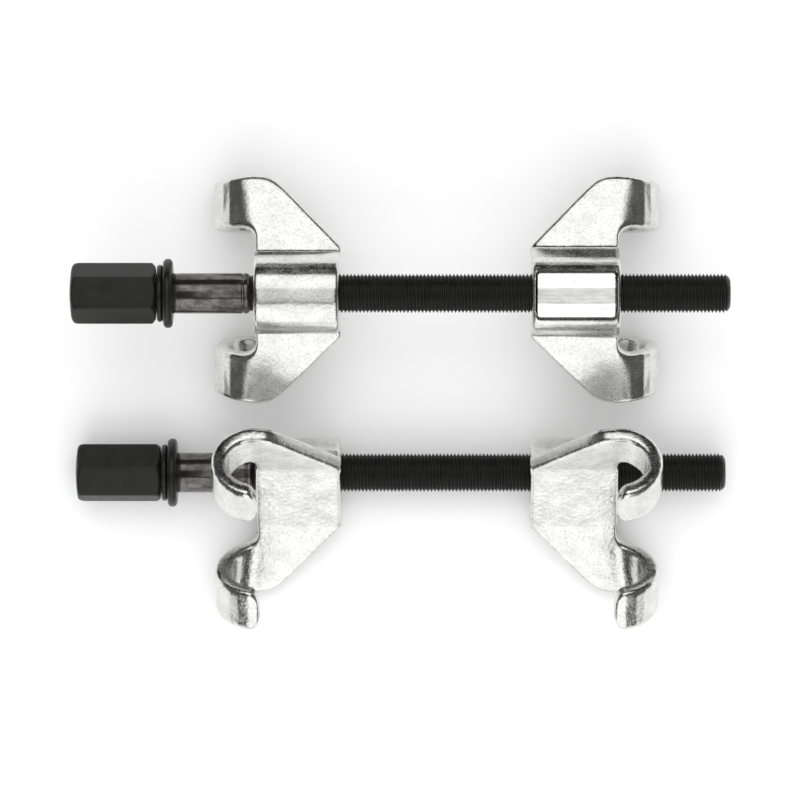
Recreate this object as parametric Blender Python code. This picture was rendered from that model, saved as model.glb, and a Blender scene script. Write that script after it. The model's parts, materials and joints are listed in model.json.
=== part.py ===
"""A coil spring compressor: a pair of screw clamps laid side by side on a bench.

Each clamp is a steel spindle with a hexagonal drive head. A plain jaw slides and turns on
its smooth shank, and a threaded jaw carries a nut block that travels along its thread. Both
jaws are forgings with two hooks that close round a coil of a road spring. The rear clamp
stands on its hooks. The front clamp lies on its barrels, rolled over on to one arm of each
jaw.

Metres, +X along both spindles away from their drive heads, +Z up, and the origin on the
bench below the middle of the pair.
"""

import math

import bmesh
import bpy
from mathutils import Matrix, Vector

MM = 0.001

# Places along the spindle, from the end of the drive head
SPINDLE_END = 270.0 * MM
HEAD_LENGTH = 35.2 * MM
FRICTION_RING_START = 35.9 * MM
FRICTION_RING_END = 38.1 * MM
FLANGE_START = 38.4 * MM
FLANGE_END = 42.2 * MM
SHANK_END = 73.6 * MM
PLAIN_JAW_OUTER = 75.2 * MM
PLAIN_JAW_INNER = 110.3 * MM
THREADED_JAW_INNER = 189.0 * MM
THREADED_JAW_OUTER = 225.3 * MM

# Turned pieces
THREAD_RADIUS = 8.0 * MM
SHANK_RADIUS = 8.25 * MM
SPIGOT_RADIUS = 6.0 * MM
SPIGOT_START = 9.0 * MM
GAP = 0.3 * MM
RING_BORE_RADIUS = 8.6 * MM
FRICTION_RING_RADIUS = 11.7 * MM
FLANGE_RADIUS = 14.2 * MM
HEAD_ACROSS_FLATS = 22.0 * MM
HEAD_DOME_RADIUS = 60.0 * MM
HEAD_CORNER_RADIUS = 3.5 * MM
JAW_BORE_RADIUS = 8.65 * MM
ROUND_SIDES = 32

# Jaw forging, in the jaw's own frame: X from its inner to its outer face, Y along the arms,
# Z towards the hooks, with the spindle on the X axis
ARM_TILT = math.radians(21.5)
ARM_THICKNESS = 6.5 * MM
ARM_REACH = 45.4 * MM
ARM_ROOT = 16.8 * MM
FACE_HEIGHT = 15.3 * MM
FACE_HALF_WIDTH = 17.2 * MM
BARREL_RADIUS = 17.0 * MM
BARREL_CENTRE = 3.6 * MM
EDGE_BLEND = 2.0 * MM
HOOK_TILT = math.radians(8.0)
HOOK_INNER_SIDE = 25.0 * MM
HOOK_FILLET = 5.7 * MM
HOOK_REACH = 17.2 * MM
HOOK_OUTER_RADIUS = 17.8 * MM
HOOK_TIP_ANGLE = math.radians(96.0)
TIP_LENGTH = 4.4 * MM
HOOK_TAPER = 0.10
HOOK_SIDE_ROUND = 1.8 * MM
END_CHAMFER = 1.0 * MM

# The threaded jaw's box-shaped back, its pocket and the nut block in it
BOSS_BACK = 10.6 * MM
BOSS_FLAT = 6.2 * MM
BOSS_CORNER = 9.1 * MM
BOSS_DRAFT = math.radians(14.0)
POCKET_WALL = 1.4 * MM
POCKET_HALF_WIDTH = 10.4 * MM
POCKET_FLOOR = 11.3 * MM
POCKET_CORNER = 2.0 * MM
NUT_END_GAP = 0.6 * MM
NUT_SIDE_GAP = 1.1 * MM
NUT_BACK = 11.9 * MM
NUT_FACET = 3.2 * MM
NUT_SHOULDER = 9.4 * MM

# How the two clamps lie
SPINDLE_SPACING = 77.7 * MM
PAIR_SHIFT = 8.54 * MM
REAR_ROLL = math.radians(180.0)
FRONT_ROLL = math.radians(39.7)
REAR_HEAD_TURN = math.radians(-4.5)
FRONT_HEAD_TURN = math.radians(-27.0)


# --- small helpers -------------------------------------------------------------------------


def clear_scene():
    for old in list(bpy.data.objects):
        bpy.data.objects.remove(old, do_unlink=True)


def metal(name, colour, roughness):
    material = bpy.data.materials.new(name)
    material.use_nodes = True
    shader = material.node_tree.nodes["Principled BSDF"]
    shader.inputs["Base Color"].default_value = (*colour, 1.0)
    shader.inputs["Roughness"].default_value = roughness
    shader.inputs["Metallic"].default_value = 1.0
    return material


def mesh_from(name, points, faces):
    """A mesh with its faces turned outwards and its round stretches shaded smooth."""
    shape = bmesh.new()
    corners = [shape.verts.new(p) for p in points]
    for face in faces:
        shape.faces.new([corners[i] for i in face])
    bmesh.ops.recalc_face_normals(shape, faces=shape.faces)
    mesh = bpy.data.meshes.new(name)
    shape.to_mesh(mesh)
    shape.free()
    mesh.shade_smooth()
    mesh.set_sharp_from_angle(angle=math.radians(35.0))
    return mesh


def new_object(name, mesh, material=None, parent=None):
    piece = bpy.data.objects.new(name, mesh)
    bpy.context.scene.collection.objects.link(piece)
    if material:
        mesh.materials.clear()
        mesh.materials.append(material)
    piece.parent = parent
    return piece


def rounded(corners, steps=4):
    """An outline with each corner (a, b, radius) replaced by an arc of that radius."""
    outline = []
    for i, (a, b, radius) in enumerate(corners):
        here = Vector((a, b))
        before = (Vector(corners[i - 1][:2]) - here).normalized()
        after = (Vector(corners[(i + 1) % len(corners)][:2]) - here).normalized()
        if not radius:
            outline.append(here)
            continue
        half = before.angle(after) / 2.0
        middle = here + (before + after).normalized() * radius / math.sin(half)
        start = here + before * radius / math.tan(half) - middle
        end = here + after * radius / math.tan(half) - middle
        turn = start.angle_signed(end)
        for k in range(steps + 1):
            outline.append(middle + Matrix.Rotation(-turn * k / steps, 2) @ start)
    return outline


def loft(name, rings):
    """A closed solid through rings with the same number of points, with flat ends."""
    count = len(rings[0])
    points = [p for ring in rings for p in ring]
    faces = [list(range(count)), [len(points) - 1 - i for i in range(count)]]
    for r in range(len(rings) - 1):
        for i in range(count):
            j = (i + 1) % count
            low, high = r * count, (r + 1) * count
            faces.append([low + i, low + j, high + j, high + i])
    return mesh_from(name, points, faces)


def turned(name, profile):
    """A bar turned about X through (x, radius) points, with flat ends."""
    rings = []
    for x, radius in profile:
        ring = []
        for i in range(ROUND_SIDES):
            angle = 2.0 * math.pi * i / ROUND_SIDES
            ring.append((x, radius * math.cos(angle), radius * math.sin(angle)))
        rings.append(ring)
    return loft(name, rings)


def turned_ring(name, profile):
    """A ring turned about X through a closed loop of (x, radius) points."""
    points = []
    for i in range(ROUND_SIDES):
        angle = 2.0 * math.pi * i / ROUND_SIDES
        points += [(x, r * math.cos(angle), r * math.sin(angle)) for x, r in profile]
    count = len(profile)
    faces = []
    for i in range(ROUND_SIDES):
        here, there = i * count, (i + 1) % ROUND_SIDES * count
        for k in range(count):
            n = (k + 1) % count
            faces.append([here + k, here + n, there + n, there + k])
    return mesh_from(name, points, faces)


def combined(base, steps):
    """The mesh left after Boolean steps of (operation, mesh) on a base mesh."""
    work = new_object("work", base)
    tools = []
    for operation, mesh in steps:
        tool = new_object("tool", mesh)
        tool.hide_render = True
        tool.display_type = "WIRE"
        boolean = work.modifiers.new(operation.lower(), "BOOLEAN")
        boolean.operation = operation
        boolean.solver = "EXACT"
        boolean.object = tool
        tools.append(tool)
    graph = bpy.context.evaluated_depsgraph_get()
    result = bpy.data.meshes.new_from_object(work.evaluated_get(graph))
    for spare in [work, *tools]:
        bpy.data.objects.remove(spare, do_unlink=True)
    return result


def flipped(mesh):
    """The mesh mirrored in X, with its faces still pointing outwards."""
    mesh.transform(Matrix.Diagonal((-1.0, 1.0, 1.0, 1.0)))
    mesh.flip_normals()
    return mesh


def chamfered_ends(mesh, width):
    """Chamfers the edges round the two end faces of a solid extruded along X."""
    shape = bmesh.new()
    shape.from_mesh(mesh)
    ends = [f for f in shape.faces if abs(f.normal.x) > 0.99]
    edges = list({edge for face in ends for edge in face.edges})
    bmesh.ops.bevel(shape, geom=edges, offset=width, segments=1, affect="EDGES")
    shape.to_mesh(mesh)
    shape.free()
    return mesh


# --- jaws ----------------------------------------------------------------------------------


def arm_point(along, out, rise):
    """A point on an arm: along X, out from the bend line in the arm's plane, and above it."""
    y = FACE_HALF_WIDTH + out * math.cos(ARM_TILT) - rise * math.sin(ARM_TILT)
    z = FACE_HEIGHT + out * math.sin(ARM_TILT) + rise * math.cos(ARM_TILT)
    return Vector((along, y, z))


def out_at(y):
    """How far out on the arm's upper surface a given Y lies."""
    return (y - FACE_HALF_WIDTH) / math.cos(ARM_TILT)


def extruded(name, section, length):
    """A (y, z) section extruded along X from 0 to a length."""
    return loft(name, [[(x, y, z) for y, z in section] for x in (0.0, length)])


def round_back():
    """The plain jaw's barrel section, right half, from the front face down to its back."""
    half = [(FACE_HALF_WIDTH + GAP, FACE_HEIGHT)]
    for degrees in range(20, -91, -10):
        angle = math.radians(degrees)
        y = BARREL_RADIUS * math.cos(angle)
        half.append((y, BARREL_CENTRE + BARREL_RADIUS * math.sin(angle)))
    return half


def box_back():
    """The threaded jaw's section, right half: sloping sides and a flat back."""
    half = [(FACE_HALF_WIDTH + GAP, FACE_HEIGHT)]
    corner_height = BOSS_CORNER - BOSS_BACK
    shoulder_y = BOSS_FLAT + BOSS_CORNER * math.cos(BOSS_DRAFT)
    shoulder_z = corner_height - BOSS_CORNER * math.sin(BOSS_DRAFT)
    side_height = FACE_HEIGHT - ARM_THICKNESS
    side_y = shoulder_y + (side_height - shoulder_z) * math.tan(BOSS_DRAFT)
    half.append((side_y, side_height))
    for k in range(5):
        angle = -BOSS_DRAFT - k / 4.0 * (math.pi / 2.0 - BOSS_DRAFT)
        y = BOSS_FLAT + BOSS_CORNER * math.cos(angle)
        half.append((y, corner_height + BOSS_CORNER * math.sin(angle)))
    return half


def both_halves(half):
    """A whole section from its right half; a point on the centre line isn't repeated."""
    left = [(-y, z) for y, z in reversed(half) if y > 1e-6]
    return half + left


def limb_edges(length, s):
    """The inner and outer edges in Y of an arm and its hook, s along from the start of the bend."""
    slope = ARM_ROOT + length + s
    top = ARM_REACH - HOOK_TAPER * min(max(s, 0.0), HOOK_OUTER_RADIUS)
    blend = math.exp(-slope / EDGE_BLEND) + math.exp(-top / EDGE_BLEND)
    outer = -EDGE_BLEND * math.log(blend)
    if s < -0.1 * MM:
        return FACE_HALF_WIDTH - 4.0 * MM, outer
    short = max(0.0, HOOK_FILLET - s)
    inner = HOOK_INNER_SIDE - HOOK_FILLET + math.sqrt(HOOK_FILLET**2 - short**2)
    return inner, outer


def limb_ring(length, s, edges, thickness):
    """A rounded cross-section of an arm, or of its hook where it bends and turns to its own tilt."""
    radius = HOOK_OUTER_RADIUS - ARM_THICKNESS / 2.0
    pivot_out = (out_at(ARM_REACH) + out_at(HOOK_INNER_SIDE)) / 2.0
    bent = max(0.0, s) / radius
    angle = bent - math.pi / 2.0
    tilt = ARM_TILT + (HOOK_TILT - ARM_TILT) * min(1.0, bent / (math.pi / 2.0))
    lift = radius * (1.0 + math.sin(angle))
    middle = arm_point(length + HOOK_REACH - HOOK_OUTER_RADIUS, pivot_out, -ARM_THICKNESS / 2.0)
    middle += Vector((radius * math.cos(angle) + min(0.0, s), 0.0, 0.0))
    middle += lift * Vector((0.0, -math.sin(HOOK_TILT), math.cos(HOOK_TILT)))
    low, high = (out_at(y) - pivot_out for y in edges)
    side = min(HOOK_SIDE_ROUND, 0.45 * thickness)
    corners = [
        (low, -thickness / 2.0, side),
        (high, -thickness / 2.0, side),
        (high, thickness / 2.0, side),
        (low, thickness / 2.0, side),
    ]
    across_limb = Vector((0.0, math.cos(tilt), math.sin(tilt)))
    upright = Vector((0.0, -math.sin(tilt), math.cos(tilt)))
    away = Vector((math.cos(angle), 0.0, 0.0)) + math.sin(angle) * upright
    return [middle + out * across_limb + radial * away for out, radial in rounded(corners, 2)]


def limb(length):
    """An arm and its hook: one strip that leaves the barrel, bends round and ends in a tongue."""
    total = (HOOK_OUTER_RADIUS - ARM_THICKNESS / 2.0) * (math.pi / 2.0 + HOOK_TIP_ANGLE)
    stations = [0.2 * MM - length]
    stations += [s * MM for s in (-26, -18, -13, -11, -9.3, -8, -7, -6, -5, -3.5, -2, -0.15)]
    stations += [s * MM for s in (0.0, 0.3, 0.9, 1.8, 3.0, 4.4, HOOK_FILLET / MM)]
    steps = 10
    last = total - TIP_LENGTH
    stations += [HOOK_FILLET + (last - HOOK_FILLET) * (k + 1) / steps for k in range(steps)]
    rings = []
    for s in stations:
        rings.append(limb_ring(length, s, limb_edges(length, s), ARM_THICKNESS))
    inner, outer = limb_edges(length, last)
    for degrees in (20.0, 38.0, 54.0, 67.0):
        turn = math.radians(degrees)
        pulled_in = (outer - inner) / 2.0 * (1.0 - math.cos(turn))
        edges = (inner + pulled_in, outer - pulled_in)
        thickness = ARM_THICKNESS * math.cos(turn) ** 0.6
        rings.append(limb_ring(length, last + TIP_LENGTH * math.sin(turn), edges, thickness))
    return loft("limb", rings)


def across(mesh):
    """A copy of a mesh mirrored to the jaw's other side."""
    copy = mesh.copy()
    copy.transform(Matrix.Diagonal((1.0, -1.0, 1.0, 1.0)))
    copy.flip_normals()
    return copy


def jaw(length, half_section, cuts):
    """A jaw forging: a barrel, two arms and two hooks in one piece, bored for the spindle."""
    barrel = chamfered_ends(extruded("barrel", both_halves(half_section), length), END_CHAMFER)
    piece = limb(length)
    steps = [("UNION", piece), ("UNION", across(piece))]
    bore = turned("bore", [(-5.0 * MM, JAW_BORE_RADIUS), (length + 5.0 * MM, JAW_BORE_RADIUS)])
    steps.append(("DIFFERENCE", bore))
    steps += [("DIFFERENCE", cut) for cut in cuts]
    return combined(barrel, steps)


def block(name, x_range, half_width, section, corner):
    """A block with rounded upright edges in plan and a given (y, z) section."""
    low, high = x_range
    plan = [
        (low, -half_width, corner),
        (high, -half_width, corner),
        (high, half_width, corner),
        (low, half_width, corner),
    ]
    rings = []
    for z in (-2.0 * BOSS_BACK, POCKET_FLOOR):
        rings.append([(x, y, z) for x, y in rounded(plan)])
    upright = loft(name, rings)
    if not section:
        return upright
    return combined(upright, [("INTERSECT", extruded("section", section, high + low))])


def pocket(length):
    """The pocket in the threaded jaw's back that takes the nut block."""
    ends = (POCKET_WALL, length - POCKET_WALL)
    return block("pocket", ends, POCKET_HALF_WIDTH, None, POCKET_CORNER)


def nut_block(length):
    """The nut block: three long facets on its back and a bore for the thread."""
    ends = (POCKET_WALL + NUT_END_GAP, length - POCKET_WALL - NUT_END_GAP)
    half_width = POCKET_HALF_WIDTH - NUT_SIDE_GAP
    half = [
        (half_width + MM, POCKET_FLOOR - GAP),
        (half_width + MM, -NUT_SHOULDER + 0.5 * MM),
        (NUT_FACET, -NUT_BACK),
    ]
    solid = block("nut", ends, half_width, both_halves(half), POCKET_CORNER - 0.6 * MM)
    radius = THREAD_RADIUS + GAP
    bore = turned("bore", [(-5.0 * MM, radius), (length + 5.0 * MM, radius)])
    return combined(solid, [("DIFFERENCE", bore)])


# --- spindle and its head ------------------------------------------------------------------


def spindle():
    """Spigot inside the head, smooth shank with a thread relief at its end, and the thread."""
    relief = 71.0 * MM
    shank_start = HEAD_LENGTH + GAP
    profile = [
        (SPIGOT_START, SPIGOT_RADIUS - 1.0 * MM),
        (SPIGOT_START + 1.0 * MM, SPIGOT_RADIUS),
        (shank_start, SPIGOT_RADIUS),
        (shank_start, SHANK_RADIUS - 0.4 * MM),
        (shank_start + 0.4 * MM, SHANK_RADIUS),
        (relief - 0.5 * MM, SHANK_RADIUS),
        (relief - 0.2 * MM, SHANK_RADIUS - 0.4 * MM),
        (relief + 0.2 * MM, SHANK_RADIUS - 0.4 * MM),
        (relief + 0.5 * MM, SHANK_RADIUS),
        (SHANK_END - 0.9 * MM, SHANK_RADIUS),
        (SHANK_END, THREAD_RADIUS - 0.8 * MM),
        (SHANK_END + 0.9 * MM, THREAD_RADIUS - 0.8 * MM),
        (SHANK_END + 1.7 * MM, THREAD_RADIUS),
        (SPINDLE_END - 2.4 * MM, THREAD_RADIUS),
        (SPINDLE_END - 1.0 * MM, THREAD_RADIUS - 0.9 * MM),
        (SPINDLE_END, THREAD_RADIUS - 2.3 * MM),
    ]
    return turned("spindle", profile)


def drive_head():
    """A long hexagon with a rounded end, a chamfered end and a blind bore for the spigot."""
    side = HEAD_ACROSS_FLATS / math.sqrt(3.0)
    hexagon = []
    for k in range(6):
        angle = math.radians(60.0 * k)
        hexagon.append((side * math.cos(angle), side * math.sin(angle)))
    bar = extruded("bar", hexagon, HEAD_LENGTH)
    dome = []
    crown = side * 1.02 - HEAD_CORNER_RADIUS
    inset = 0.0
    for k in range(3):
        radius = crown * (k + 1) / 3.0
        inset = HEAD_DOME_RADIUS - math.sqrt(HEAD_DOME_RADIUS**2 - radius**2)
        dome.append((inset - 0.02 * MM, radius))
    for k in range(1, 6):
        angle = math.radians(18.0 * k)
        x = inset + HEAD_CORNER_RADIUS * (1.0 - math.cos(angle))
        dome.append((x - 0.02 * MM, crown + HEAD_CORNER_RADIUS * math.sin(angle)))
    chamfer = HEAD_ACROSS_FLATS / 2.0 - 0.2 * MM
    rest = side * 1.02 - chamfer
    dome.append((HEAD_LENGTH - rest * 0.75, side * 1.02))
    dome.append((HEAD_LENGTH + 0.02 * MM, chamfer))
    bore_radius = SPIGOT_RADIUS + GAP
    bore = turned("bore", [(SPIGOT_START - GAP, bore_radius), (HEAD_LENGTH + MM, bore_radius)])
    return combined(bar, [("INTERSECT", turned("dome", dome)), ("DIFFERENCE", bore)])


def washer(name, start, end, radius, rim):
    """A flat ring with a rounded rim."""
    profile = [(start, RING_BORE_RADIUS), (end, RING_BORE_RADIUS)]
    for side, first in ((end - rim, 0), (start + rim, 90)):
        for degrees in (first, first + 45, first + 90):
            angle = math.radians(degrees)
            x = side + rim * math.cos(angle)
            profile.append((x, radius - rim + rim * math.sin(angle)))
    return turned_ring(name, profile)


# --- assembly ------------------------------------------------------------------------------


def clamp_meshes():
    """Every piece of a clamp: its name, mesh and place along the spindle."""
    plain_length = PLAIN_JAW_OUTER - PLAIN_JAW_INNER
    threaded_length = THREADED_JAW_OUTER - THREADED_JAW_INNER
    ring = washer("ring", FRICTION_RING_START, FRICTION_RING_END, FRICTION_RING_RADIUS, 0.8 * MM)
    flange = washer("flange", FLANGE_START, FLANGE_END, FLANGE_RADIUS, 1.7 * MM)
    threaded = jaw(threaded_length, box_back(), [pocket(threaded_length)])
    return [
        ("spindle", spindle(), 0.0, "black_oxide"),
        ("drive_head", drive_head(), 0.0, "black_oxide"),
        ("friction_ring", ring, 0.0, "black_oxide"),
        ("flange_washer", flange, 0.0, "black_oxide"),
        ("plain_jaw", flipped(jaw(-plain_length, round_back(), [])), PLAIN_JAW_INNER, "zinc"),
        ("threaded_jaw", threaded, THREADED_JAW_INNER, "zinc"),
        ("nut_block", nut_block(threaded_length), THREADED_JAW_INNER, "bright_zinc"),
    ]


def resting_height(pieces, roll):
    """How high the spindle lies above the bench when a rolled clamp rests on it."""
    turn = Matrix.Rotation(roll, 3, "X")
    return -min((turn @ v.co).z for _, mesh, _, _ in pieces for v in mesh.vertices)


def add_clamp(prefix, pieces, materials, place, roll, head_turn):
    """One clamp's objects under an empty on its spindle's axis."""
    frame = bpy.data.objects.new(prefix + "_axis", None)
    bpy.context.scene.collection.objects.link(frame)
    frame.location = place
    frame.rotation_euler = (roll, 0.0, 0.0)
    for name, mesh, along, finish in pieces:
        piece = new_object(f"{prefix}_{name}", mesh.copy(), materials[finish], frame)
        piece.location = (along - SPINDLE_END / 2.0, 0.0, 0.0)
        if name == "drive_head":
            piece.rotation_euler = (head_turn, 0.0, 0.0)


def build():
    clear_scene()
    materials = {
        "black_oxide": metal("black_oxide", (0.018, 0.018, 0.017), 0.38),
        "zinc": metal("zinc_plated_forging", (0.78, 0.78, 0.76), 0.32),
        "bright_zinc": metal("bright_zinc", (0.86, 0.86, 0.85), 0.24),
    }
    pieces = clamp_meshes()
    half_spacing = SPINDLE_SPACING / 2.0
    rear = (0.0, PAIR_SHIFT + half_spacing, resting_height(pieces, REAR_ROLL))
    front = (0.0, PAIR_SHIFT - half_spacing, resting_height(pieces, FRONT_ROLL))
    add_clamp("rear", pieces, materials, rear, REAR_ROLL, REAR_HEAD_TURN)
    add_clamp("front", pieces, materials, front, FRONT_ROLL, FRONT_HEAD_TURN)


build()
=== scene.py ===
"""Looks for a coil spring compressor: two screw clamps side by side on a pale floor.

The jaws are remade as bright zinc-plated forgings with soft edges and a pebbled skin, the
spindles get a real helical thread, and the heads and washers get rounded edges and a black
oxide finish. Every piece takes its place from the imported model.
"""

import math

import bmesh
import bpy
from mathutils import Matrix, Vector, noise
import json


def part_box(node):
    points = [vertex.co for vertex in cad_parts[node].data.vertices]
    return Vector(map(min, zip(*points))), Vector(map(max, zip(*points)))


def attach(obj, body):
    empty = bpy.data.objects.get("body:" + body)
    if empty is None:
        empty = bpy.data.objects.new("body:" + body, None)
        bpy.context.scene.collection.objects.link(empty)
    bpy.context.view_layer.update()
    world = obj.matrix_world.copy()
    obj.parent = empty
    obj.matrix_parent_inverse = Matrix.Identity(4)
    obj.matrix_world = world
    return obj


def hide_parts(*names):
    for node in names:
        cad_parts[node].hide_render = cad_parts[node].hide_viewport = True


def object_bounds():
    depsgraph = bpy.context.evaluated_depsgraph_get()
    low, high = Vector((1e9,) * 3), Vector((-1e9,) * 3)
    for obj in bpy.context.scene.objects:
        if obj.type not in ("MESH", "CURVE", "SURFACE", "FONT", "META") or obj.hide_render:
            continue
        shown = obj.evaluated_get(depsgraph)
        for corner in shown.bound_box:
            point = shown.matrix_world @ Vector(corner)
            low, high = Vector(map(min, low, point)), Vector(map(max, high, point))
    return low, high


MM = 0.001

# Along the spindle, from the end of the drive head
HEAD_LENGTH = 35.2 * MM
SHANK_START = 35.5 * MM
SHANK_END = 73.6 * MM
THREAD_START = 74.4 * MM
SPINDLE_END = 270.0 * MM

# Across it
PITCH = 1.5 * MM
THREAD_CREST = 7.97 * MM
THREAD_ROOT = 7.1 * MM
END_RADIUS = 5.7 * MM
HEAD_APOTHEM = 11.0 * MM
HEAD_DOME = 60.0 * MM
HEAD_CROWN = 9.45 * MM
HEAD_CORNER = 3.5 * MM
RING_BORE = 8.6 * MM
RING_RADIUS = 11.7 * MM
RING_RIM = 0.9 * MM
FLANGE_RADIUS = 14.2 * MM
FLANGE_RIM = 1.75 * MM
JAW_BORE = 8.65 * MM
NUT_BORE = 8.3 * MM
BARREL_CORE = 9.0 * MM

# The pocket in the threaded jaw, round the nut block
POCKET_GAP = 0.6 * MM
POCKET_SIDE_GAP = 1.1 * MM
POCKET_FLOOR = 11.3 * MM
POCKET_CORNER = 2.0 * MM
BOSS_BACK = 10.6 * MM

# How the forgings and the nut blocks are rounded off
JAW_VOXEL = 0.5 * MM
JAW_ROUNDS = 14
NUT_VOXEL = 0.35 * MM
NUT_ROUNDS = 4
PLUG_EXTRA = 0.1 * MM
CREASE = math.radians(50.0)

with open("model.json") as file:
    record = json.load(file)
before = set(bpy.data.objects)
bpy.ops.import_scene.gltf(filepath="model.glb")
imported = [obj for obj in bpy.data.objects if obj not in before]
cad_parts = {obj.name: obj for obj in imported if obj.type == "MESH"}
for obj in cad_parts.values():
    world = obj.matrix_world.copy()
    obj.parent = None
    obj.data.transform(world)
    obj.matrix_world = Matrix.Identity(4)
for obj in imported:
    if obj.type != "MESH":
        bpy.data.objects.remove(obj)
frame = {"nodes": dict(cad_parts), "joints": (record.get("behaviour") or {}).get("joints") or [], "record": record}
cad_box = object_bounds()
nodes = frame["nodes"]


# --- places --------------------------------------------------------------------------------


def clamp_frame(prefix):
    """A clamp's own frame: X along its spindle from the head's end, Z towards its hooks."""
    joint = next(j for j in frame["joints"] if j["name"] == prefix + "_spindle_turn")
    mounts = frame["record"]["mounts"]
    face = next(m for m in mounts if m["name"] == prefix + "_plain_jaw_face")["axis"]
    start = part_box(prefix + "_drive_head")[0].x
    place = Matrix.Translation((start, joint["pos_m"][1], joint["pos_m"][2]))
    return place @ Matrix.Rotation(math.atan2(-face[1], face[2]), 4, "X")


def head_turn(prefix, place):
    """How far the drive head's flats are turned in the clamp's own frame."""
    mounts = frame["record"]["mounts"]
    flat = Vector(next(m for m in mounts if m["name"] == prefix + "_drive_flat")["axis"])
    local = place.to_3x3().inverted() @ flat
    return math.atan2(local.z, local.y)


# --- mesh helpers --------------------------------------------------------------------------


def as_object(name, mesh):
    piece = bpy.data.objects.new(name, mesh)
    bpy.context.scene.collection.objects.link(piece)
    return piece


def from_data(name, points, faces, sharp=40.0):
    mesh = bpy.data.meshes.new(name)
    mesh.from_pydata([tuple(p) for p in points], [], faces)
    mesh.validate()
    mesh.shade_smooth()
    mesh.set_sharp_from_angle(angle=math.radians(sharp))
    return mesh


def outward(mesh):
    """Turns a closed mesh's faces outward."""
    work = bmesh.new()
    work.from_mesh(mesh)
    if work.calc_volume(signed=True) < 0.0:
        mesh.flip_normals()
    work.free()
    return mesh


def evaluated(obj):
    """The object's mesh with its modifiers applied."""
    graph = bpy.context.evaluated_depsgraph_get()
    return bpy.data.meshes.new_from_object(obj.evaluated_get(graph))


def rings_mesh(name, rings, loop=False):
    """A surface through closed rings, with its two ends capped unless the rings loop."""
    count = len(rings[0])
    points = [p for ring in rings for p in ring]
    faces = []
    last = len(rings) if loop else len(rings) - 1
    for r in range(last):
        low, high = r * count, (r + 1) % len(rings) * count
        for i in range(count):
            j = (i + 1) % count
            faces.append((low + i, high + i, high + j, low + j))
    if not loop:
        faces.append(tuple(range(count)))
        faces.append(tuple(len(points) - 1 - i for i in range(count)))
    return outward(from_data(name, points, faces))


def circle(x, radius, count):
    """Points round the X axis."""
    angles = [2.0 * math.pi * i / count for i in range(count)]
    return [(x, radius * math.cos(a), radius * math.sin(a)) for a in angles]


def turned(name, profile, count=96, loop=False):
    """A turned part from (x, radius) points."""
    return rings_mesh(name, [circle(x, radius, count) for x, radius in profile], loop)


def slab(name, low, high, corner, steps=5):
    """An upright block between two corners, with rounded upright edges."""
    rings = []
    for z in (low.z, high.z):
        ring = []
        for k, (sx, sy) in enumerate(((1, 1), (-1, 1), (-1, -1), (1, -1))):
            cx = (high.x if sx > 0 else low.x) - sx * corner
            cy = (high.y if sy > 0 else low.y) - sy * corner
            for i in range(steps + 1):
                angle = math.radians(90.0) * (k + i / steps)
                ring.append((cx + corner * math.cos(angle), cy + corner * math.sin(angle), z))
        rings.append(ring)
    return rings_mesh(name, rings)


def local_copy(node, place):
    """A CAD node's mesh, in its clamp's own frame."""
    mesh = nodes[node].data.copy()
    mesh.transform(place.inverted())
    mesh.materials.clear()
    return mesh


def extent(mesh):
    """The low and high corners of a mesh's box."""
    low = Vector([min(v.co[i] for v in mesh.vertices) for i in range(3)])
    high = Vector([max(v.co[i] for v in mesh.vertices) for i in range(3)])
    return low, high


def joined(name, meshes):
    """Several meshes as one, with their volumes left overlapping."""
    points, faces = [], []
    for mesh in meshes:
        base = len(points)
        points += [v.co.copy() for v in mesh.vertices]
        faces += [tuple(base + i for i in p.vertices) for p in mesh.polygons]
    result = bpy.data.meshes.new(name)
    result.from_pydata([tuple(p) for p in points], [], faces)
    return result


def softened(mesh, voxel, rounds):
    """The mesh as one even skin with its edges rounded off."""
    work = as_object("work", mesh)
    remesh = work.modifiers.new("skin", "REMESH")
    remesh.mode = "VOXEL"
    remesh.voxel_size = voxel
    smooth = work.modifiers.new("round", "SMOOTH")
    smooth.factor = 0.5
    smooth.iterations = rounds
    result = evaluated(work)
    bpy.data.objects.remove(work, do_unlink=True)
    return result


def cut(mesh, tools):
    """The mesh with every tool's volume taken away."""
    work = as_object("work", mesh)
    spare = [work]
    for tool in tools:
        piece = as_object("tool", tool)
        boolean = work.modifiers.new("cut", "BOOLEAN")
        boolean.operation = "DIFFERENCE"
        boolean.solver = "EXACT"
        boolean.object = piece
        spare.append(piece)
    result = evaluated(work)
    for piece in spare:
        bpy.data.objects.remove(piece, do_unlink=True)
    return result


def smoothstep(low, high, value):
    t = min(1.0, max(0.0, (value - low) / (high - low)))
    return t * t * (3.0 - 2.0 * t)


# --- jaws ----------------------------------------------------------------------------------


def pebbles(co, normal, seed):
    """How far the forging's skin stands out, in metres, at a point of a jaw."""
    at = co / MM + Vector((seed * 37.0, seed * 11.0, 0.0))
    front = smoothstep(0.2, 0.8, normal.z) * smoothstep(6.0 * MM, 12.0 * MM, co.z)
    middle = front * (1.0 - smoothstep(14.0 * MM, 24.0 * MM, abs(co.y)))
    folds = 1.0 - 2.0 * abs(noise.noise(Vector((at.x * 0.5, at.y * 0.75, at.z * 0.6))))
    lumps = noise.noise(at * 0.8)
    grain = noise.noise(at * 1.7)
    swell = noise.noise(at * 0.12)
    height = 0.12 * swell + 0.02 * lumps + 0.015 * grain
    height += front * (0.03 * lumps + 0.03 * grain)
    height += middle * (0.1 * (folds - 0.5) + 0.06 * lumps + 0.03 * grain)
    return height * MM


def drawn_marks(co, normal, seed):
    """The same for a drawn bar: faint lengthwise streaks."""
    at = co / MM + Vector((seed * 19.0, 0.0, 0.0))
    streak = noise.noise(Vector((at.x * 0.25, at.y * 1.6, at.z * 1.6)))
    return (0.02 * streak + 0.01 * noise.noise(at * 1.4)) * MM


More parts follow.
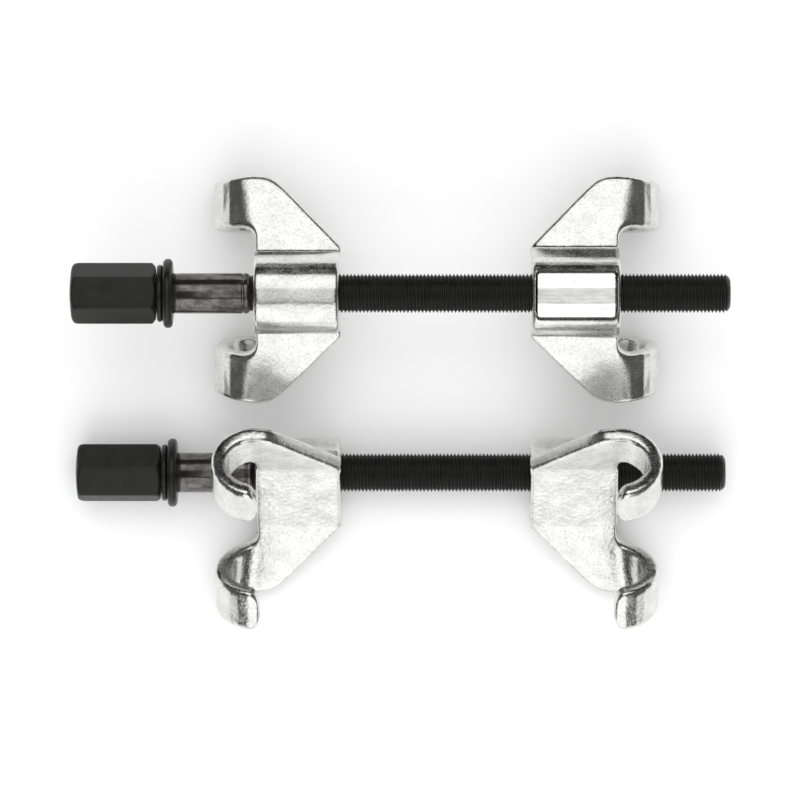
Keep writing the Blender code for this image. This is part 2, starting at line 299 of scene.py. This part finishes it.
def displaced(mesh, height, seed):
    """Moves every vertex out along its normal by height(place, normal, seed)."""
    normals = [v.normal.copy() for v in mesh.vertices]
    moved = [v.co + n * height(v.co, n, seed) for v, n in zip(mesh.vertices, normals)]
    for vertex, co in zip(mesh.vertices, moved):
        vertex.co = co


def jaw(prefix, kind, place, seed):
    """A forged jaw, rounded all over and then bored."""
    node = f"{prefix}_{kind}_jaw"
    solid = local_copy(node, place)
    low, high = extent(solid)
    core = [v.co.x for v in solid.vertices if max(abs(v.co.y), abs(v.co.z)) < BARREL_CORE]
    inset = 0.25 * MM
    plug = [(end, JAW_BORE + PLUG_EXTRA) for end in (min(core) + inset, max(core) - inset)]
    fillers = [turned("plug", plug, 48)]
    tools = [turned("bore", [(low.x - MM, JAW_BORE), (high.x + MM, JAW_BORE)])]
    if kind == "threaded":
        nut_low, nut_high = extent(local_copy(f"{prefix}_nut_block", place))
        gap = Vector((POCKET_GAP, POCKET_SIDE_GAP, 0.0))
        pocket_low = nut_low - gap
        pocket_high = nut_high + gap
        pocket_high.z = POCKET_FLOOR
        fill_low = pocket_low.copy()
        fill_low.z = -BOSS_BACK + 0.5 * MM
        fillers.append(slab("fill", fill_low, pocket_high, POCKET_CORNER))
        pocket_low.z = -2.0 * BOSS_BACK
        tools.append(slab("pocket", pocket_low, pocket_high, POCKET_CORNER))
    skin = softened(joined("solid", [solid, *fillers]), JAW_VOXEL, JAW_ROUNDS)
    displaced(skin, pebbles, seed)
    mesh = cut(skin, tools)
    mesh.shade_smooth()
    mesh.set_sharp_from_angle(angle=CREASE)
    return mesh


def nut_block(prefix, place, seed):
    """The nut block, a length of drawn bar with soft edges, bored after that."""
    solid = local_copy(f"{prefix}_nut_block", place)
    low, high = extent(solid)
    inset = 0.3 * MM
    plug = [(end, NUT_BORE + PLUG_EXTRA) for end in (low.x + inset, high.x - inset)]
    skin = softened(joined("solid", [solid, turned("plug", plug, 48)]), NUT_VOXEL, NUT_ROUNDS)
    displaced(skin, drawn_marks, seed)
    bore = turned("bore", [(low.x - MM, NUT_BORE), (high.x + MM, NUT_BORE)])
    mesh = cut(skin, [bore])
    mesh.shade_smooth()
    mesh.set_sharp_from_angle(angle=CREASE)
    return mesh


# --- spindle, head and washers ---------------------------------------------------------------


def end_taper(x):
    """The most that the thread's radius may be near the spindle's free end and its start."""
    left = SPINDLE_END - x
    chamfer = END_RADIUS + left * 1.5 if left < 1.0 * MM else 7.2 * MM + (left - MM) * 0.62
    lead_in = THREAD_ROOT + max(0.0, x - THREAD_START) * 0.8
    return min(THREAD_CREST, chamfer, lead_in)


def spindle():
    """The spindle: spigot, smooth shank with its relief groove, and a helical thread."""
    count = 64
    # (x, radius) in mm: the spigot, the shank, its groove, and the way down to the thread's root
    profile = [
        (9.0, 5.0),
        (10.0, 6.0),
        (35.5, 6.0),
        (35.5, 7.85),
        (35.6, 8.1),
        (35.85, 8.25),
        (70.3, 8.25),
        (70.55, 8.18),
        (70.8, 7.9),
        (71.2, 7.9),
        (71.45, 8.18),
        (71.7, 8.25),
        (72.6, 8.22),
        (73.0, 8.05),
        (73.7, 7.3),
        (THREAD_START / MM, THREAD_ROOT / MM),
    ]
    points, rings = [], []
    for x, radius in [*profile, (SPINDLE_END / MM, END_RADIUS / MM)]:
        rings.append(range(len(points), len(points) + count))
        points += circle(x * MM, radius * MM, count)
    end = rings.pop()
    start = rings[-1]
    # One thread: (share of the pitch, share of the thread's depth)
    steps = ((0.0, 0.0), (0.11, 0.0), (0.22, 0.0), (0.55, 1.0), (0.67, 1.0))
    turns = int((SPINDLE_END - THREAD_START) / PITCH) + 3
    rows = {}

    def corner(row, i):
        """The point where a row of the thread's helix crosses one line along the spindle."""
        if i == count:
            return corner(row + len(steps), 0)
        if (row, i) in rows:
            return rows[row, i]
        share, height = steps[row % len(steps)]
        x = THREAD_START + PITCH * (row // len(steps) - 1 + share + i / count)
        if x <= THREAD_START + 1e-7:
            rows[row, i] = start[i]
        elif x >= SPINDLE_END - 1e-7:
            rows[row, i] = end[i]
        else:
            radius = min(THREAD_ROOT + height * (THREAD_CREST - THREAD_ROOT), end_taper(x))
            angle = 2.0 * math.pi * i / count
            rows[row, i] = len(points)
            points.append((x, radius * math.cos(angle), radius * math.sin(angle)))
        return rows[row, i]

    faces = []
    for low, high in zip(rings, rings[1:]):
        for i in range(count):
            j = (i + 1) % count
            faces.append((low[i], high[i], high[j], low[j]))
    for row in range((turns + 1) * len(steps)):
        for i in range(count):
            quad = [corner(row, i), corner(row + 1, i), corner(row + 1, i + 1), corner(row, i + 1)]
            face = tuple(dict.fromkeys(quad))
            if len(face) > 2:
                faces.append(face)
    faces.append(tuple(rings[0]))
    faces.append(tuple(reversed(end)))
    return outward(from_data("spindle", points, faces, 35.0))


def drive_head(turn):
    """A hexagon with soft edges, a rounded end and a chamfered end round its bore."""
    spread = (0.0, 0.7, 1.4, 2.2, 3.2, 5.0, 9.0, 15.0, 22.0, 30.0)
    angles = []
    for k in range(6):
        angles += [60.0 * k + a for a in spread]
        angles += [60.0 * k + 60.0 - a for a in reversed(spread[1:-1])]
    # The higher the power, the sharper the edges between the flats
    power = 46.0

    def hexagon(angle):
        """How far the flats let the head reach at an angle."""
        total = 0.0
        for k in range(6):
            facing = math.cos(math.radians(angle - 60.0 * k - 30.0))
            total += max(0.0, facing) ** power
        return HEAD_APOTHEM / total ** (1.0 / power)

    def envelope(x):
        """How far the head's rounded end and its chamfer let it reach."""
        chamfer = 10.75 * MM + (HEAD_LENGTH - x) * 1.35
        inset = HEAD_DOME - math.sqrt(HEAD_DOME**2 - HEAD_CROWN**2)
        if x < inset:
            return math.sqrt(HEAD_DOME**2 - (HEAD_DOME - x) ** 2)
        left = max(0.0, inset + HEAD_CORNER - x)
        return min(HEAD_CROWN + math.sqrt(HEAD_CORNER**2 - left**2), chamfer)

    def around(x, radii):
        ring = []
        for angle, radius in zip(angles, radii):
            at = math.radians(angle - 30.0) + turn
            ring.append((x, radius * math.cos(at), radius * math.sin(at)))
        return ring

    # Distances from the end, in mm, close together where the outline bends
    stations = [0.02, 0.1, 0.3, 0.55, 0.745, 0.8, 0.95, 1.15, 1.4, 1.7, 2.1, 2.6, 3.2, 3.9, 4.6]
    stations += [5.4, 6.5, 9.0, 14.0, 20.0, 26.0, 31.0, 32.8, 33.2, 33.5, 33.8, 34.1, 34.4]
    stations += [34.7, 34.9, 35.1, 35.2]
    rings = []
    for x in stations:
        limit = envelope(x * MM)
        radii = [(hexagon(a) ** -power + limit**-power) ** (-1.0 / power) for a in angles]
        rings.append(around(x * MM, radii))
    # (x, radius) in mm: the face towards the washers, an eased edge and the blind bore
    bore = ((35.2, 10.3), (35.2, 6.7), (35.0, 6.3), (8.7, 6.3))
    for x, radius in bore:
        rings.append(around(x * MM, [radius * MM] * len(angles)))
    return rings_mesh("drive_head", rings)


def washer(name, low, high, radius, rim):
    """A ring with a fully rounded rim and eased bore edges."""
    ease = 0.25 * MM
    profile = [
        (low + ease, RING_BORE),
        (high - ease, RING_BORE),
        (high, RING_BORE + ease),
    ]
    for side, first in ((high - rim, 0), (low + rim, 90)):
        for k in range(7):
            angle = math.radians(first + 15.0 * k)
            profile.append((side + rim * math.cos(angle), radius - rim + rim * math.sin(angle)))
    profile.append((low, RING_BORE + ease))
    return turned(name, profile, 96, loop=True)


# --- materials -------------------------------------------------------------------------------


class Shader:
    """A node material and short ways to add and link its nodes."""

    def __init__(self, name, colour, metallic, roughness):
        self.material = bpy.data.materials.new(name)
        self.material.use_nodes = True
        self.tree = self.material.node_tree
        self.surface = self.tree.nodes["Principled BSDF"]
        self.surface.inputs["Base Color"].default_value = (*colour, 1.0)
        self.surface.inputs["Metallic"].default_value = metallic
        self.surface.inputs["Roughness"].default_value = roughness
        self.place = self.node("ShaderNodeTexCoord").outputs["Object"]

    def node(self, kind, **settings):
        made = self.tree.nodes.new(kind)
        for key, value in settings.items():
            setattr(made, key, value)
        return made

    def link(self, source, target):
        self.tree.links.new(source, target)

    def stretched(self, scale):
        mapping = self.node("ShaderNodeMapping")
        mapping.inputs["Scale"].default_value = scale
        self.link(self.place, mapping.inputs["Vector"])
        return mapping.outputs["Vector"]

    def noise(self, size, detail=3.0, roughness=0.55, stretch=None):
        """Noise whose features are about size metres across."""
        made = self.node("ShaderNodeTexNoise")
        made.inputs["Scale"].default_value = 1.0 / size
        made.inputs["Detail"].default_value = detail
        made.inputs["Roughness"].default_value = roughness
        self.link(self.stretched(stretch) if stretch else self.place, made.inputs["Vector"])
        return made.outputs["Fac"]

    def ramp(self, value, low, high, first, last):
        """Maps a value from low..high to first..last, clamped."""
        made = self.node("ShaderNodeMapRange", clamp=True)
        self.link(value, made.inputs["Value"])
        for key, number in zip(("From Min", "From Max", "To Min", "To Max"), (low, high, first, last)):
            made.inputs[key].default_value = number
        return made.outputs["Result"]

    def math(self, operation, a, b):
        made = self.node("ShaderNodeMath", operation=operation)
        for socket, value in zip(made.inputs, (a, b)):
            if isinstance(value, (int, float)):
                socket.default_value = value
            else:
                self.link(value, socket)
        return made.outputs["Value"]

    def mix(self, fac, a, b):
        made = self.node("ShaderNodeMix", data_type="RGBA")
        self.link(fac, made.inputs["Factor"])
        for socket, value in ((made.inputs[6], a), (made.inputs[7], b)):
            if isinstance(value, tuple):
                socket.default_value = (*value, 1.0)
            else:
                self.link(value, socket)
        return made.outputs[2]

    def bump(self, heights):
        """Stacks (height, strength, distance) bumps."""
        normal = None
        for height, strength, distance in heights:
            made = self.node("ShaderNodeBump")
            made.inputs["Strength"].default_value = strength
            made.inputs["Distance"].default_value = distance
            self.link(height, made.inputs["Height"])
            if normal:
                self.link(normal, made.inputs["Normal"])
            normal = made.outputs["Normal"]
        self.link(normal, self.surface.inputs["Normal"])

    def set(self, socket, value):
        self.link(value, self.surface.inputs[socket])


def zinc_forging():
    """Bright zinc over a pebbled forging: finely speckled, with slightly duller patches."""
    made = Shader("zinc_forging", (0.78, 0.78, 0.765), 1.0, 0.3)
    patches = made.noise(7.0 * MM, 3.0)
    speckle = made.noise(1.0 * MM, 4.0, 0.7)
    grain = made.noise(0.5 * MM, 2.0)
    dull = made.ramp(speckle, 0.34, 0.5, 1.0, 0.0)
    shade = made.mix(made.ramp(patches, 0.35, 0.65, 0.0, 1.0), (0.66, 0.66, 0.65), (0.82, 0.82, 0.81))
    spots = made.math("MULTIPLY", dull, 0.4)
    made.set("Base Color", made.mix(spots, shade, (0.42, 0.42, 0.41)))
    base = made.ramp(patches, 0.3, 0.7, 0.18, 0.27)
    made.set("Roughness", made.math("ADD", base, made.math("MULTIPLY", dull, 0.1)))
    made.bump([(speckle, 0.3, 0.12 * MM), (grain, 0.3, 0.05 * MM)])
    return made.material


def bright_zinc():
    """Bright zinc over a smooth drawn bar, with faint lengthwise streaks."""
    made = Shader("bright_zinc", (0.88, 0.88, 0.87), 1.0, 0.2)
    streaks = made.noise(1.2 * MM, 3.0, 0.6, (0.12, 1.0, 1.0))
    patches = made.noise(4.0 * MM, 3.0)
    shade = made.mix(made.ramp(streaks, 0.3, 0.6, 0.0, 1.0), (0.7, 0.7, 0.69), (0.9, 0.9, 0.89))
    made.set("Base Color", shade)
    made.set("Roughness", made.ramp(patches, 0.3, 0.7, 0.16, 0.3))
    made.bump([(streaks, 0.3, 0.05 * MM)])
    return made.material


def black_oxide(name, low, high, size, streak):
    """Black oxide on steel, mottled by handling and thin oil."""
    made = Shader(name, (0.014, 0.014, 0.013), 0.0, 0.4)
    mottle = made.noise(size, 4.0, 0.6)
    drawn = made.noise(0.5 * MM, 3.0, 0.6, (streak, 1.0, 1.0))
    made.surface.inputs["Specular IOR Level"].default_value = 0.3
    patches = made.ramp(mottle, 0.3, 0.7, 0.0, 1.0)
    made.set("Base Color", made.mix(patches, (0.006, 0.006, 0.006), (0.015, 0.0145, 0.013)))
    made.set("Roughness", made.ramp(mottle, 0.3, 0.7, low, high))
    made.bump([(drawn, 0.25, 0.03 * MM), (mottle, 0.15, 0.1 * MM)])
    return made.material


def oiled_shank():
    """The ground shank: black oxide rubbed thin in patches, so the steel shines through."""
    made = Shader("oiled_shank", (0.05, 0.05, 0.048), 0.9, 0.2)
    rings = made.noise(1.1 * MM, 3.0, 0.6, (1.0, 0.15, 0.15))
    mottle = made.noise(3.2 * MM, 5.0, 0.65, (0.6, 1.0, 1.0))
    rubbed = made.ramp(mottle, 0.4, 0.62, 0.4, 1.0)
    worn = made.math("MULTIPLY", made.ramp(rings, 0.3, 0.65, 0.7, 1.0), rubbed)
    made.set("Base Color", made.mix(worn, (0.015, 0.015, 0.014), (0.2, 0.195, 0.185)))
    made.set("Roughness", made.ramp(mottle, 0.3, 0.7, 0.26, 0.13))
    made.bump([(rings, 0.12, 0.02 * MM), (mottle, 0.2, 0.05 * MM)])
    return made.material


# --- making it all ---------------------------------------------------------------------------


def place_piece(name, mesh, place, material, slot, node, body):
    """Puts a piece in place of its CAD node."""
    mesh.transform(place)
    mesh.name = name
    mesh.materials.clear()
    mesh.materials.append(material)
    piece = as_object(name, mesh)
    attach(piece, body)
    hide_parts(node)
    return piece


def build_clamp(prefix, seed, finish):
    place = clamp_frame(prefix)
    inverse = place.inverted()

    def along(node):
        low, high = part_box(f"{prefix}_{node}")
        return (inverse @ low).x, (inverse @ high).x

    ring = along("friction_ring")
    flange = along("flange_washer")
    ring_mesh = washer("ring", *ring, RING_RADIUS, RING_RIM)
    flange_mesh = washer("flange", *flange, FLANGE_RADIUS, FLANGE_RIM)
    turn = head_turn(prefix, place)
    pieces = (
        ("spindle", spindle(), "thread", "black_oxide", "screw"),
        ("drive_head", drive_head(turn), "head", "black_oxide", "screw"),
        ("friction_ring", ring_mesh, "ring", "black_oxide", "ring"),
        ("flange_washer", flange_mesh, "ring", "black_oxide", "washer"),
        ("plain_jaw", jaw(prefix, "plain", place, seed), "zinc", "zinc", "sliding_jaw"),
        ("threaded_jaw", jaw(prefix, "threaded", place, seed + 1), "zinc", "zinc", "travelling_jaw"),
        ("nut_block", nut_block(prefix, place, seed), "bright", "bright_zinc", "travelling_jaw"),
    )
    for node, mesh, look, slot, body in pieces:
        name = f"{prefix}_{node}"
        piece = place_piece(name + "_skin", mesh, place, finish[look], slot, name, f"{prefix}_{body}")
        if node == "spindle":
            mesh.materials.append(finish["shank"])
            for face in mesh.polygons:
                x = (inverse @ face.center).x
                if SHANK_START - 0.1 * MM < x < SHANK_END:
                    face.material_index = 1


finish = {
    "zinc": zinc_forging(),
    "bright": bright_zinc(),
    "head": black_oxide("black_head", 0.36, 0.5, 5.0 * MM, 0.08),
    "ring": black_oxide("black_ring", 0.26, 0.42, 3.0 * MM, 1.0),
    "thread": black_oxide("black_thread", 0.3, 0.45, 3.0 * MM, 1.0),
    "shank": oiled_shank(),
}
build_clamp("rear", 1, finish)
build_clamp("front", 5, finish)


# --- stage -----------------------------------------------------------------------------------


def floor():
    """A pale disc, just under the clamps."""
    radius = 5.0
    below = 0.2 * MM
    sides = 96
    ring = []
    for i in range(sides):
        angle = 2.0 * math.pi * i / sides
        ring.append((radius * math.cos(angle), radius * math.sin(angle), -below))
    mesh = from_data("floor", ring, [tuple(range(sides))])
    paint = Shader("floor", (0.93, 0.93, 0.93), 0.0, 0.85)
    mesh.materials.append(paint.material)
    as_object("floor", mesh)


def softbox(name, place, size, radiance):
    """A rectangular soft light that faces the clamps and isn't seen by the camera."""
    light = bpy.data.lights.new(name, "AREA")
    light.shape = "RECTANGLE"
    light.size, light.size_y = size
    light.energy = radiance * math.pi * size[0] * size[1]
    lamp = bpy.data.objects.new(name, light)
    bpy.context.scene.collection.objects.link(lamp)
    lamp.location = place
    back = Vector(place).normalized()
    right = Vector((0.0, 1.0, 0.0)) if abs(back.x) > 0.5 else Vector((1.0, 0.0, 0.0))
    up = back.cross(right)
    lamp.rotation_euler = Matrix((right, up, back)).transposed().to_euler()
    lamp.visible_camera = False
    return lamp


def studio():
    """Softboxes in front, behind and above, and dim sides that give the bends their shade.

    The world and the fill only light the floor, and metals don't reflect them.
    """
    world = bpy.data.worlds.new("studio")
    bpy.context.scene.world = world
    world.use_nodes = True
    world.node_tree.nodes["Background"].inputs["Color"].default_value = (0.55, 0.55, 0.55, 1.0)
    world.cycles_visibility.glossy = False
    softbox("front_box", (0.0, -1.15, 0.74), (1.4, 1.6), 1.4)
    softbox("rear_box", (0.0, 0.85, 1.15), (1.4, 0.9), 1.45)
    softbox("left_box", (-1.5, 0.0, 0.8), (3.0, 1.5), 0.1)
    softbox("right_box", (1.5, 0.0, 0.8), (3.0, 1.5), 0.1)
    softbox("top_box", (0.0, 0.0, 1.8), (0.8, 1.2), 0.95)
    fill = softbox("floor_fill", (0.0, 0.0, 1.9), (2.4, 2.4), 0.6)
    fill.visible_glossy = False
    bpy.context.scene.view_settings.view_transform = "Standard"


def camera():
    """The camera looks almost straight down, from a little in front of the clamps' backs."""
    distance = 2.6
    view_width = 0.3304
    aim = Vector((0.0144, 0.0015, -0.01))
    tilt = math.radians(5.4)
    back = Vector((0.0, math.sin(tilt), math.cos(tilt)))
    up = Vector((0.0, math.cos(tilt), -math.sin(tilt)))
    centre = (cad_box[0] + cad_box[1]) / 2.0
    lens = bpy.data.cameras.new("camera")
    lens.sensor_width = 36.0
    lens.lens = lens.sensor_width * distance / view_width
    lens.shift_x = -0.04375
    lens.clip_end = 20.0
    view = bpy.data.objects.new("camera", lens)
    bpy.context.scene.collection.objects.link(view)
    place = Matrix((up.cross(back), up, back)).transposed().to_4x4()
    place.translation = centre + aim + back * distance
    view.matrix_world = place
    bpy.context.scene.camera = view


floor()
studio()
camera()
